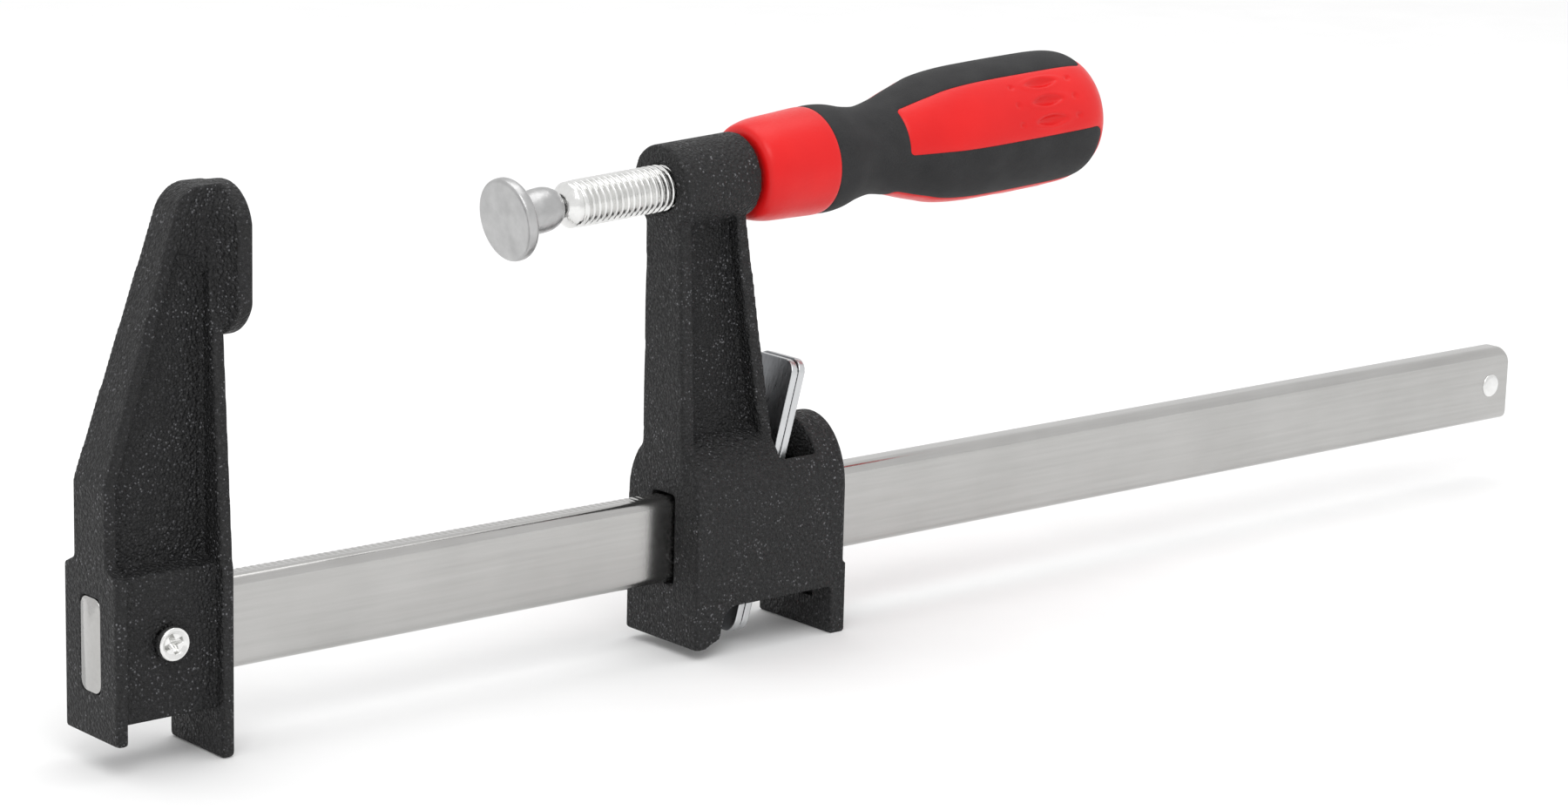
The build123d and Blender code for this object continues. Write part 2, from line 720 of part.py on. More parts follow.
# ======================= clutch spring =======================
with BuildPart() as clutch_spring:
    with BuildLine():
        coil = Helix(
            pitch=(SPRING_X1 - SPRING_X0) / SPRING_TURNS,
            height=SPRING_X1 - SPRING_X0,
            radius=(SPRING_D - SPRING_WIRE) / 2,
        )
    with BuildSketch(Plane(origin=coil @ 0, x_dir=(1, 0, 0), z_dir=coil % 0)):
        Circle(SPRING_WIRE / 2)
    sweep(path=coil, is_frenet=True)
spring_seat = Plane(origin=(SPRING_X0, 0, SPRING_Z), x_dir=(0, 1, 0), z_dir=(1, 0, 0))
save(spring_seat.from_local_coords(clutch_spring.part), "clutch_spring")
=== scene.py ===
import json
import math

import bmesh
import bpy
import numpy as np
from mathutils import Matrix, Vector


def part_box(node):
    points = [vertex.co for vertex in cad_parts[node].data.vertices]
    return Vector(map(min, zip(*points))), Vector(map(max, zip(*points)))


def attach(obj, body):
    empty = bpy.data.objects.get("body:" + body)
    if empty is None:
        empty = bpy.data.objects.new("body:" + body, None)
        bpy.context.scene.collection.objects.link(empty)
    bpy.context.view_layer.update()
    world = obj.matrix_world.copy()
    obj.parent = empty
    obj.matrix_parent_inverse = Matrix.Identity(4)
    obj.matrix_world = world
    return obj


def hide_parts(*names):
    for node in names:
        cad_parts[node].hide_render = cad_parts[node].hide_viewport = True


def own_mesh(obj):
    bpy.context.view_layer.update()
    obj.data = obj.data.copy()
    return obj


# F clamp in a pale studio. Metres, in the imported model's own frame: X along the
# bar from the fixed jaw, Y across it, Z up. Shapes are written in millimetres
# and scaled by MM.

MM = 0.001

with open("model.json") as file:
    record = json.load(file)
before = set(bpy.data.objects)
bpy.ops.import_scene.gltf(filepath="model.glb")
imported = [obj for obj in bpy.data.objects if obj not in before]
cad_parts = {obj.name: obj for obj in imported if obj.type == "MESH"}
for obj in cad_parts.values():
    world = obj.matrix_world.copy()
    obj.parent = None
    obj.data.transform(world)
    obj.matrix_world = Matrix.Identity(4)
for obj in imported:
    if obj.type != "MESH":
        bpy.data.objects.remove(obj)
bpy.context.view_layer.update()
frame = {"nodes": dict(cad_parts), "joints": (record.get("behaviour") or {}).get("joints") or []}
joints = {joint["name"]: joint for joint in frame["joints"]}


# ======================= camera =======================
CAMERA_AT = Vector((-0.389666, -0.652142, 0.232642))
CAMERA_YAW = math.radians(40.862)
CAMERA_PITCH = math.radians(12.959)
CAMERA_ROLL = math.radians(1.561)
CAMERA_LENS = 93.115


def add_camera():
    forward = Vector((
        math.sin(CAMERA_YAW) * math.cos(CAMERA_PITCH),
        math.cos(CAMERA_YAW) * math.cos(CAMERA_PITCH),
        -math.sin(CAMERA_PITCH),
    ))
    level = forward.cross(Vector((0, 0, 1))).normalized()
    rise = level.cross(forward)
    right = level * math.cos(CAMERA_ROLL) + rise * math.sin(CAMERA_ROLL)
    up = rise * math.cos(CAMERA_ROLL) - level * math.sin(CAMERA_ROLL)
    data = bpy.data.cameras.new("camera")
    data.lens = CAMERA_LENS
    data.sensor_width = 36
    data.clip_start = 0.01
    data.clip_end = 50
    camera = bpy.data.objects.new("camera", data)
    camera.matrix_world = Matrix((
        (right.x, up.x, -forward.x, CAMERA_AT.x),
        (right.y, up.y, -forward.y, CAMERA_AT.y),
        (right.z, up.z, -forward.z, CAMERA_AT.z),
        (0, 0, 0, 1),
    ))
    bpy.context.scene.collection.objects.link(camera)
    bpy.context.scene.camera = camera


# ======================= materials =======================
class Shader:
    """A node material, with short calls for the nodes it is built from."""

    def __init__(self, name, **inputs):
        self.material = bpy.data.materials.new(name)
        self.material.use_nodes = True
        self.tree = self.material.node_tree
        self.bsdf = self.tree.nodes["Principled BSDF"]
        for key, value in inputs.items():
            self.bsdf.inputs[key.replace("_", " ")].default_value = value
        self.coords = self.tree.nodes.new("ShaderNodeTexCoord").outputs["Object"]

    def node(self, kind, **values):
        made = self.tree.nodes.new(kind)
        for key, value in values.items():
            setattr(made, key, value)
        return made

    def link(self, source, target):
        self.tree.links.new(source, target)

    def scaled(self, stretch):
        mapping = self.node("ShaderNodeMapping")
        mapping.inputs["Scale"].default_value = stretch
        self.link(self.coords, mapping.inputs["Vector"])
        return mapping.outputs["Vector"]

    def noise(self, scale, detail=3.0, roughness=0.55, stretch=None):
        made = self.node("ShaderNodeTexNoise")
        made.inputs["Scale"].default_value = scale
        made.inputs["Detail"].default_value = detail
        made.inputs["Roughness"].default_value = roughness
        self.link(self.scaled(stretch) if stretch else self.coords, made.inputs["Vector"])
        return made.outputs["Fac"]

    def cells(self, scale):
        made = self.node("ShaderNodeTexVoronoi")
        made.inputs["Scale"].default_value = scale
        self.link(self.coords, made.inputs["Vector"])
        return made.outputs["Distance"]

    def remap(self, value, low, high, to_low=0.0, to_high=1.0):
        made = self.node("ShaderNodeMapRange")
        for key, number in (
            ("From Min", low), ("From Max", high), ("To Min", to_low), ("To Max", to_high),
        ):
            made.inputs[key].default_value = number
        self.link(value, made.inputs["Value"])
        return made.outputs["Result"]

    def math(self, operation, first, second):
        made = self.node("ShaderNodeMath", operation=operation)
        for index, value in enumerate((first, second)):
            if isinstance(value, (int, float)):
                made.inputs[index].default_value = value
            else:
                self.link(value, made.inputs[index])
        return made.outputs[0]

    def ramp(self, value, *stops):
        made = self.node("ShaderNodeValToRGB")
        elements = made.color_ramp.elements
        while len(elements) < len(stops):
            elements.new(0.5)
        for element, (place, color) in zip(elements, stops):
            element.position = place
            element.color = (*color, 1)
        self.link(value, made.inputs["Fac"])
        return made.outputs["Color"]

    def facing_x(self):
        """How squarely the surface faces along the bar, 0 to 1."""
        split = self.node("ShaderNodeSeparateXYZ")
        self.link(self.node("ShaderNodeNewGeometry").outputs["Normal"], split.inputs[0])
        return self.math("ABSOLUTE", split.outputs["X"], 0)

    def base(self, color):
        self.link(color, self.bsdf.inputs["Base Color"])

    def rough(self, value):
        self.link(value, self.bsdf.inputs["Roughness"])

    def bump(self, height, depth, strength=1.0, under=None):
        made = self.node("ShaderNodeBump")
        made.inputs["Strength"].default_value = strength
        made.inputs["Distance"].default_value = depth
        self.link(height, made.inputs["Height"])
        if under is not None:
            self.link(under, made.inputs["Normal"])
        self.link(made.outputs["Normal"], self.bsdf.inputs["Normal"])
        return made.outputs["Normal"]


def black_paint():
    """Wrinkle-finish black enamel: fine crinkled grains, a few of which carry a painted glint, a painted
    highlight in the base colour.
    """
    s = Shader("black_paint", Specular_IOR_Level=0.42)
    wrinkle = s.noise(1250, 3, 0.6)
    grains = s.cells(1500)
    patches = s.noise(140, 2)
    # Painted highlight: scattered grains are picked out as bright specks, standing in for light glinting
    # off the paint.
    near = s.remap(grains, 0.52, 0.15)
    painted_glint_spots = s.remap(s.noise(1100, 1), 0.46, 0.58)
    painted_glint = s.math("MULTIPLY", near, painted_glint_spots)
    painted_glint = s.math("MULTIPLY", painted_glint, s.remap(patches, 0.38, 0.62, 0.4, 1.0))
    # Base colour: dark enamel, lifted to a painted highlight on the glinting grains.
    s.base(s.ramp(
        painted_glint,
        (0.0, (0.005, 0.005, 0.0055)),
        (0.4, (0.025, 0.025, 0.027)),
        (1.0, (0.17, 0.17, 0.18)),
    ))
    s.rough(s.remap(wrinkle, 0.35, 0.65, 0.75, 0.45))
    coarse = s.bump(patches, 0.0006, 0.4)
    height = s.math("ADD", wrinkle, s.math("MULTIPLY", grains, 0.7))
    s.bump(height, 0.0007, 1.0, coarse)
    return s.material


def bar_steel():
    """Zinc-plated cold-drawn flat bar: faint draw lines along X and cloudy plating."""
    s = Shader("bar_steel", Metallic=1.0)
    lines = s.noise(900, 3, 0.6, (0.03, 1, 1))
    clouds = s.noise(45, 3, 0.6)
    fine = s.noise(2200, 2)
    tone = s.math("ADD", s.math("MULTIPLY", lines, 0.5), s.math("MULTIPLY", clouds, 0.5))
    s.base(s.ramp(tone, (0.3, (0.415, 0.41, 0.40)), (0.7, (0.50, 0.495, 0.485))))
    s.rough(s.remap(clouds, 0.3, 0.7, 0.15, 0.24))
    s.bump(lines, 0.00004, 0.5, s.bump(fine, 0.00003, 0.4))
    return s.material


def zinc_bright():
    """Bright zinc plating, slightly uneven, as on a rolled screw."""
    s = Shader("zinc_bright", Metallic=1.0)
    grain = s.noise(1300, 3)
    clouds = s.noise(260, 3)
    s.base(s.ramp(clouds, (0.3, (0.70, 0.70, 0.69)), (0.7, (0.86, 0.86, 0.85))))
    s.rough(s.remap(grain, 0.3, 0.7, 0.10, 0.22))
    s.bump(grain, 0.00006, 0.5)
    return s.material


def pad_steel():
    """The swivel pad: tumbled zinc, more matt than the screw."""
    s = Shader("pad_steel", Metallic=1.0)
    grain = s.noise(1500, 4, 0.6)
    clouds = s.noise(220, 3)
    s.base(s.ramp(clouds, (0.3, (0.40, 0.40, 0.40)), (0.7, (0.50, 0.50, 0.50))))
    s.rough(s.remap(grain, 0.3, 0.7, 0.28, 0.40))
    s.bump(grain, 0.0001, 0.5)
    return s.material


def plate_steel():
    """Sheared galvanised plate with fine vertical shear marks on its edges; the faces that point along
    the bar are painted darker than the edges, as painted shade.
    """
    s = Shader("plate_steel", Metallic=1.0)
    marks = s.noise(1500, 3, 0.6, (1, 1, 0.12))
    clouds = s.noise(120, 3)
    # Painted shade: the broad faces along the bar get a dark base colour and the edges a light one, by
    # the way the surface faces.
    lit_edge_shaded_face = s.remap(s.facing_x(), 0.9, 0.7)
    tone = s.math("ADD", s.math("MULTIPLY", lit_edge_shaded_face, 0.75), s.math("MULTIPLY", clouds, 0.25))
    s.base(s.ramp(
        tone,
        (0.05, (0.19, 0.195, 0.205)),
        (0.25, (0.25, 0.255, 0.265)),
        (0.9, (0.62, 0.63, 0.64)),
    ))
    s.rough(s.remap(marks, 0.3, 0.7, 0.26, 0.44))
    s.bump(marks, 0.00008, 0.5)
    return s.material


def spring_steel():
    """Drawn spring wire, slightly dull."""
    s = Shader("spring_steel", Metallic=1.0)
    grain = s.noise(1800, 2)
    s.base(s.ramp(grain, (0.3, (0.45, 0.45, 0.45)), (0.7, (0.58, 0.58, 0.58))))
    s.rough(s.remap(grain, 0.3, 0.7, 0.25, 0.4))
    return s.material


def red_plastic():
    """Moulded red plastic with a satin skin and slight flow mottle."""
    s = Shader("red_plastic", Specular_IOR_Level=0.32)
    skin = s.noise(1600, 3)
    flow = s.noise(70, 2)
    s.base(s.ramp(flow, (0.3, (0.65, 0.005, 0.006)), (0.7, (0.71, 0.008, 0.008))))
    s.rough(s.remap(skin, 0.3, 0.7, 0.30, 0.42))
    s.bump(skin, 0.00006, 0.5, s.bump(flow, 0.0004, 0.3))
    return s.material


def charcoal_rubber():
    """Soft over-moulded rubber with a fine matt grain."""
    s = Shader("charcoal_rubber", Specular_IOR_Level=0.28)
    grain = s.noise(2600, 3, 0.6)
    pores = s.cells(3000)
    blotch = s.noise(150, 2)
    tone = s.math("ADD", s.math("MULTIPLY", grain, 0.6), s.math("MULTIPLY", blotch, 0.4))
    s.base(s.ramp(tone, (0.3, (0.013, 0.013, 0.014)), (0.7, (0.034, 0.034, 0.035))))
    s.rough(s.remap(grain, 0.3, 0.7, 0.66, 0.82))
    height = s.math("ADD", grain, s.math("MULTIPLY", pores, 0.5))
    s.bump(height, 0.00016, 0.5)
    return s.material


MATERIALS = {
    "bar_steel": bar_steel(),
    "black_paint": black_paint(),
    "zinc_bright": zinc_bright(),
    "pad_steel": pad_steel(),
    "plate_steel": plate_steel(),
    "spring_steel": spring_steel(),
    "red_plastic": red_plastic(),
    "charcoal_rubber": charcoal_rubber(),
}


# ======================= mesh helpers =======================
WELD_GAP = 1e-6


def new_piece(name, mesh, node, body, slot, material=None):
    """A finished mesh in the row frame becomes the piece that stands for a CAD node."""
    piece = bpy.data.objects.new(name, mesh)
    bpy.context.scene.collection.objects.link(piece)
    mesh.materials.clear()
    mesh.materials.append(MATERIALS[material or slot])
    mesh.shade_smooth()
    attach(piece, body)
    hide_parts(node)
    return piece


def grid_mesh(name, points, cap_ends=False):
    """Quads over a grid of points [row][column], in millimetres, closed round the columns."""
    rows, columns = points.shape[:2]
    verts = points.reshape(-1, 3) * MM
    faces = []
    for i in range(rows - 1):
        this, above = i * columns, (i + 1) * columns
        for j in range(columns):
            k = (j + 1) % columns
            faces.append((this + j, this + k, above + k, above + j))
    if cap_ends:
        faces.append(tuple(range(columns - 1, -1, -1)))
        faces.append(tuple((rows - 1) * columns + j for j in range(columns)))
    mesh = bpy.data.meshes.new(name)
    mesh.from_pydata(verts.tolist(), [], faces)
    mesh.update()
    return mesh


def weld(mesh):
    """Joins points that coincide and turns every face outwards."""
    work = bmesh.new()
    work.from_mesh(mesh)
    bmesh.ops.remove_doubles(work, verts=work.verts, dist=WELD_GAP)
    bmesh.ops.recalc_face_normals(work, faces=work.faces)
    work.to_mesh(mesh)
    work.free()
    return mesh


def evaluated_copy(source, name, *modifiers):
    """The source object's mesh after some modifiers, as a new mesh. The source is untouched."""
    copy = bpy.data.objects.new(name, source.data.copy())
    bpy.context.scene.collection.objects.link(copy)
    for kind, settings in modifiers:
        modifier = copy.modifiers.new(kind, kind)
        for key, value in settings.items():
            setattr(modifier, key, value)
    graph = bpy.context.evaluated_depsgraph_get()
    mesh = bpy.data.meshes.new_from_object(copy.evaluated_get(graph))
    bpy.data.objects.remove(copy)
    return mesh


def cast_skin(node, voxel, rounds):
    """A cast or sheared form: the CAD solid with every edge rounded and every corner filled."""
    return evaluated_copy(
        frame["nodes"][node],
        node + "_skin",
        ("REMESH", {"mode": "VOXEL", "voxel_size": voxel * MM, "adaptivity": 0.0}),
        ("SMOOTH", {"factor": 0.5, "iterations": rounds}),
    )


def axis_matrix(origin, direction):
    """Local Z runs along direction, local X across the clamp (+Y of the row), local Y is up."""
    z = Vector(direction).normalized()
    x = Vector((0, 1, 0))
    y = z.cross(x)
    return Matrix((
        (x.x, y.x, z.x, origin[0]),
        (x.y, y.y, z.y, origin[1]),
        (x.z, y.z, z.z, origin[2]),
        (0, 0, 0, 1),
    ))


def smooth_profile(points, step):
    """Radius and height along a turned outline, rounded by a Catmull-Rom spline."""
    pts = np.array(points, float)
    out = []
    for i in range(len(pts) - 1):
        p0 = pts[max(i - 1, 0)]
        p1, p2 = pts[i], pts[i + 1]
        p3 = pts[min(i + 2, len(pts) - 1)]
        count = max(2, int(np.linalg.norm(p2 - p1) / step))
        for t in np.linspace(0, 1, count, endpoint=False):
            out.append(0.5 * (
                2 * p1 + (p2 - p0) * t + (2 * p0 - 5 * p1 + 4 * p2 - p3) * t * t
                + (3 * p1 - p0 - 3 * p2 + p3) * t ** 3
            ))
    out.append(pts[-1])
    return np.array(out)


def fillet_profile(points, default, steps):
    """Points (radius, height[, fillet]) of a turned outline with each corner rounded."""
    pts = [np.array(p[:2], float) for p in points]
    radii = [p[2] if len(p) > 2 else default for p in points]
    out = [pts[0]]
    for i in range(1, len(pts) - 1):
        before, here, after = pts[i - 1], pts[i], pts[i + 1]
        a, b = before - here, after - here
        la, lb = np.linalg.norm(a), np.linalg.norm(b)
        cut = min(radii[i], la * 0.45, lb * 0.45)
        start, end = here + a / la * cut, here + b / lb * cut
        for t in np.linspace(0, 1, steps):
            out.append((1 - t) ** 2 * start + 2 * t * (1 - t) * here + t * t * end)
    out.append(pts[-1])
    return np.array(out)


def full_turn(segments):
    return np.linspace(0, 2 * math.pi, segments, endpoint=False)


def ring(radius, height, turns):
    """Points round local Z at one height. The radius may change with the turn."""
    return np.column_stack([
        radius * np.cos(turns), radius * np.sin(turns), np.full(len(turns), height),
    ])


def lathe(name, outline, matrix, segments):
    """A solid of revolution about local Z. The outline is (radius, height) in millimetres."""
    turns = full_turn(segments)
    rows = [ring(radius, height, turns) for radius, height in outline]
    mesh = weld(grid_mesh(name, np.array(rows)))
    mesh.transform(matrix)
    return mesh


# ======================= bar =======================
BAR_H = 19.0
BAR_T = 7.0
BAR_ROUND = 2.1
BAR_END_ROUND = 3.0
BAR_END_CHAMFER = 0.12
BAR_END_BAND = 6.0
TOOTH_PITCH = 1.6
TOOTH_DEPTH = 0.14
TOOTH_HALF = 0.34
TOOTH_BAND = 0.45
TOOTH_NEAR_Y = -1.3
TOOTH_X0 = 30.0
TOOTH_X1 = 174.0
TOOTH_STATIONS = 6


def bar_section(round_steps=7):
    """The bar's outline in Y and Z, anticlockwise from the lower left, finer at the top corners."""
    points = []
    half_y, half_z = BAR_T / 2 - BAR_ROUND, BAR_H / 2 - BAR_ROUND
    for corner, (y, z) in enumerate(((1, -1), (1, 1), (-1, 1), (-1, -1))):
        for t in np.linspace(0, 1, round_steps):
            turn = math.radians(-90 + 90 * corner + 90 * t)
            points.append((
                y * half_y + BAR_ROUND * math.cos(turn),
                BAR_H / 2 + z * half_z + BAR_ROUND * math.sin(turn),
            ))
        if corner == 1:
            points += [(half_y * (1 - 2 * k / 4), BAR_H) for k in range(1, 4)]
    return np.array(points)


def tooth_cut(x, section):
    """How far each point of the section drops at x: only the top is cut, fading off the near edge."""
    phase = (x - TOOTH_X0) / TOOTH_PITCH % 1.0
    groove = TOOTH_DEPTH * max(0.0, 1 - abs(phase - 0.5) / TOOTH_HALF)
    top = np.clip((section[:, 1] - (BAR_H - TOOTH_BAND)) / 0.4, 0, 1)
    across = np.clip((section[:, 0] - TOOTH_NEAR_Y) / 0.5, 0, 1)
    return groove * (top * across)


def make_bar():
    """Flat bar with rounded edges, serrated on top, its free end's top corner rounded off."""
    lo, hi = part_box("bar")
    x0, x1 = lo.x / MM, hi.x / MM
    section = bar_section()
    plain_start = np.linspace(x0 + 0.5, TOOTH_X0, 12)
    toothed = np.arange(TOOTH_X0, TOOTH_X1, TOOTH_PITCH / TOOTH_STATIONS)
    plain_end = np.linspace(TOOTH_X1 + 0.5, x1 - BAR_END_ROUND, 60)
    end_arc = [x1 - BAR_END_ROUND * (1 - math.sin(math.radians(a))) for a in range(8, 91, 8)]
    stations = [x0, x0 + BAR_END_CHAMFER, *plain_start, *toothed, *plain_end, *end_arc, x1]
    band_z = BAR_H - BAR_END_BAND
    rows = []
    for x in stations:
        row = np.column_stack([np.full(len(section), x), section])
        if TOOTH_X0 < x < TOOTH_X1:
            row[:, 2] -= tooth_cut(x, section)
        drop_x = x - (x1 - BAR_END_ROUND)
        if drop_x > 0:
            top = BAR_H - BAR_END_ROUND + math.sqrt(max(BAR_END_ROUND ** 2 - drop_x ** 2, 0))
            scale = (top - band_z) / BAR_END_BAND
            high = row[:, 2] > band_z
            row[high, 2] = band_z + (row[high, 2] - band_z) * scale
        inset = BAR_END_CHAMFER if x in (x0, x1) else 0.0
        row[:, 1] *= 1 - inset / (BAR_T / 2)
        row[:, 2] = BAR_H / 2 + (row[:, 2] - BAR_H / 2) * (1 - inset / (BAR_H / 2))
        rows.append(row)
    mesh = weld(grid_mesh("bar", np.array(rows), cap_ends=True))
    return new_piece("bar_body", mesh, "bar", "frame", "bar_steel")


# ======================= turned parts =======================
screw_axis = Vector(joints["screw_turn"]["axis"])
boss_front = Vector(joints["screw_turn"]["pos_m"])
AXIS = axis_matrix(boss_front, screw_axis)
PAD_TILT = math.radians(5.0)
pad_axis = Matrix.Rotation(-PAD_TILT, 3, "Y") @ screw_axis
PAD_AXIS = axis_matrix(joints["pad_tilt"]["pos_m"], pad_axis)

THREAD_R = 4.99
ROOT_R = 4.0
THREAD_PITCH = 1.5
THREAD_S0 = -24.6
THREAD_S1 = 21.0
THREAD_STATIONS = 12
THREAD_RUN_IN = 1.6
THREAD_NOSE_DROP = 0.12
CREST_GAIN = 1.25
CREST_DROP = 0.06
SHANK_R = 3.8
SHANK_S0 = 21.1
SHANK_S1 = 74.0
SHANK_CHAMFER = 0.6
SPINDLE_SEGMENTS = 120


def thread_radius(s, turns):
    """The rolled thread's radius at one station, growing from the nose over a short run-in."""
    phase = (s / THREAD_PITCH - turns / (2 * math.pi)) % 1.0
    wave = np.cos(2 * math.pi * phase) * 0.5 + 0.5
    crest = np.clip(wave * CREST_GAIN - CREST_DROP, 0, 1)
    fade = min(1.0, (s - THREAD_S0) / THREAD_RUN_IN)
    return THREAD_R - THREAD_NOSE_DROP * (1 - fade) - (THREAD_R - ROOT_R) * (1 - crest) * fade


def make_spindle():
    """Ball, neck and nose turned, then a rolled thread whose crest follows a helix."""
    lead = [
        (0.0, -35.4), (1.2, -35.15), (2.15, -34.5), (2.8, -33.4), (3.0, -32.4), (2.85, -31.5),
        (2.1, -30.25), (2.1, -29.0), (2.1, -27.6), (2.75, -27.35), (3.2, -27.1), (4.1, -26.2),
        (4.7, -25.5), (4.85, -25.2), (4.87, -24.95),
    ]
    shank = [
        (SHANK_R, SHANK_S0), (SHANK_R, 40.0), (SHANK_R, SHANK_S1 - SHANK_CHAMFER),
        (SHANK_R - SHANK_CHAMFER, SHANK_S1), (0.0, SHANK_S1),
    ]
    turns = full_turn(SPINDLE_SEGMENTS)
    rows = [ring(radius, s, turns) for radius, s in fillet_profile(lead, 0.25, 3)]
    for s in np.arange(THREAD_S0, THREAD_S1, THREAD_PITCH / THREAD_STATIONS):
        rows.append(ring(thread_radius(s, turns), s, turns))
    rows += [ring(radius, s, turns) for radius, s in shank]
    mesh = weld(grid_mesh("spindle", np.array(rows)))
    mesh.transform(AXIS)
    return new_piece("spindle_screw", mesh, "spindle", "screw", "zinc_bright")


def make_pad():
    """Disc, waist and hub, then back down the open ball socket inside the hub."""
    outline = fillet_profile([
        (0, -9.1), (8.05, -9.1, 0.3), (8.6, -8.85, 0.4), (8.75, -8.2, 0.5), (8.75, -7.2, 0.6),
        (8.3, -6.4, 0.6), (7.4, -6.05, 0.6), (4.7, -5.7, 0.8), (4.15, -4.8, 0.8), (4.45, -2.6, 0.8),
        (4.7, -1.2, 1.0), (4.7, 1.2, 0.8), (4.3, 2.7, 0.8), (3.6, 3.9, 0.5), (3.1, 4.35, 0.3),
        (2.75, 4.35, 0.2), (2.75, 3.4, 0.2), (3.375, 3.1, 0.2), (3.375, 0.9, 0.2), (3.08, 0.4, 0.1),
        (3.08, 0.0, 0.1), (2.85, -1.18, 0.5), (2.18, -2.18, 0.5), (1.18, -2.85, 0.5), (0, -3.08),
    ], 0.3, 5)
    mesh = lathe("swivel_pad", outline, PAD_AXIS, 128)
    return new_piece("swivel_pad_disc", mesh, "swivel_pad", "pad", "zinc_bright", "pad_steel")


def make_stop_pin():
    """A pin with a slightly domed head on each side of the bar."""
    lo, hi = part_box("stop_pin")
    centre = (lo + hi) / 2
    half = (hi.y - lo.y) / 2 / MM
    radius = (hi.x - lo.x) / 2 / MM
    face = [
        (0, -half), (radius * 0.55, -half + 0.02, 0.4), (radius * 0.85, -half + 0.14, 0.4),
        (radius, -half + 0.42, 0.2),
    ]
    outline = fillet_profile(face + [(r, -h, *rest) for r, h, *rest in reversed(face)], 0.2, 4)
    along_y = Matrix.Translation(centre) @ Matrix.Rotation(math.radians(-90), 4, "X")
    mesh = lathe("stop_pin", outline, along_y, 72)
    return new_piece("stop_pin_head", mesh, "stop_pin", "frame", "bar_steel", "zinc_bright")


HEAD_R = 3.5
HEAD_H = 2.3
HEAD_DISH_R = HEAD_R * 0.8
HEAD_DISH = 0.5
SCREW_SHANK_R = 2.0
SCREW_CHAMFER = 0.3
CROSS_HALF = 0.62
CROSS_REACH = 2.2
CROSS_DEPTH = 1.9
CROSS_WALL = 0.34
CROSS_TURN = math.radians(20)


def make_jaw_screw():
    """Pan head with a dished top and a tapered cross recess, as a height over polar rings."""
    lo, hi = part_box("jaw_screw")
    centre_x, centre_z = (lo.x + hi.x) / 2, (lo.z + hi.z) / 2
    face_y, tip_y = lo.y / MM, hi.y / MM
    segments = 160
    turns = full_turn(segments)
    rows = []
    for radius in np.linspace(0.0, HEAD_DISH_R, 34):
        x, z = radius * np.cos(turns), radius * np.sin(turns)
        u = x * math.cos(CROSS_TURN) + z * math.sin(CROSS_TURN)
        v = -x * math.sin(CROSS_TURN) + z * math.cos(CROSS_TURN)
        arm = np.minimum(
            np.maximum(np.abs(v) - CROSS_HALF, np.abs(u) - CROSS_REACH),
            np.maximum(np.abs(u) - CROSS_HALF, np.abs(v) - CROSS_REACH),
        )
        wall = np.clip(-arm / CROSS_WALL, 0, 1)
        recess = CROSS_DEPTH * wall * np.clip(1.25 - radius / CROSS_REACH, 0, 1)
        dish = HEAD_DISH * min(1.0, (1 - radius / HEAD_DISH_R) * 3.5)
        rows.append(np.column_stack([x, face_y + 0.1 + dish + recess, z]))
    for radius, depth in ((0.86, 0.03), (0.91, 0.1), (0.96, 0.3), (0.99, 0.6), (1.0, 1.0), (1.0, 2.2)):
        rows.append(np.column_stack([
            HEAD_R * radius * np.cos(turns), np.full(segments, face_y + depth),
            HEAD_R * radius * np.sin(turns),
        ]))
    for radius, y in (
        (SCREW_SHANK_R, face_y + HEAD_H), (SCREW_SHANK_R, tip_y - SCREW_CHAMFER),
        (SCREW_SHANK_R - SCREW_CHAMFER, tip_y), (0, tip_y),
    ):
        rows.append(np.column_stack([
            radius * np.cos(turns), np.full(segments, y), radius * np.sin(turns),
        ]))
    mesh = weld(grid_mesh("jaw_screw", np.array(rows)))
    mesh.transform(Matrix.Translation((centre_x, 0, centre_z)))
    return new_piece("jaw_screw_head", mesh, "jaw_screw", "frame", "zinc_bright")


# ======================= clutch spring =======================
SPRING_TURNS = 7
SPRING_TURN_STATIONS = 28
SPRING_WIRE_R = 0.28
SPRING_CLEAR = 0.03
SPRING_END_GAP = 0.4


def make_spring():
    """A wire swept round a helix."""
    lo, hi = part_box("clutch_spring")
    centre = (lo + hi) / 2
    coil_r = (hi.z - lo.z) / 2 / MM - SPRING_WIRE_R - SPRING_CLEAR
    x0, x1 = lo.x / MM + SPRING_END_GAP, hi.x / MM - SPRING_END_GAP
    round_wire = full_turn(10)
    rows = []
    for t in np.linspace(0, 1, SPRING_TURNS * SPRING_TURN_STATIONS):
        turn = 2 * math.pi * SPRING_TURNS * t
        radius = coil_r + SPRING_WIRE_R * np.cos(round_wire)
        rows.append(np.column_stack([
            x0 + (x1 - x0) * t + SPRING_WIRE_R * np.sin(round_wire),
            centre.y / MM + radius * math.cos(turn),
            centre.z / MM + radius * math.sin(turn),
        ]))
    mesh = weld(grid_mesh("clutch_spring", np.array(rows), cap_ends=True))
    piece = new_piece("clutch_spring_coil", mesh, "clutch_spring", "slider", "spring_steel")
    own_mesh(piece)


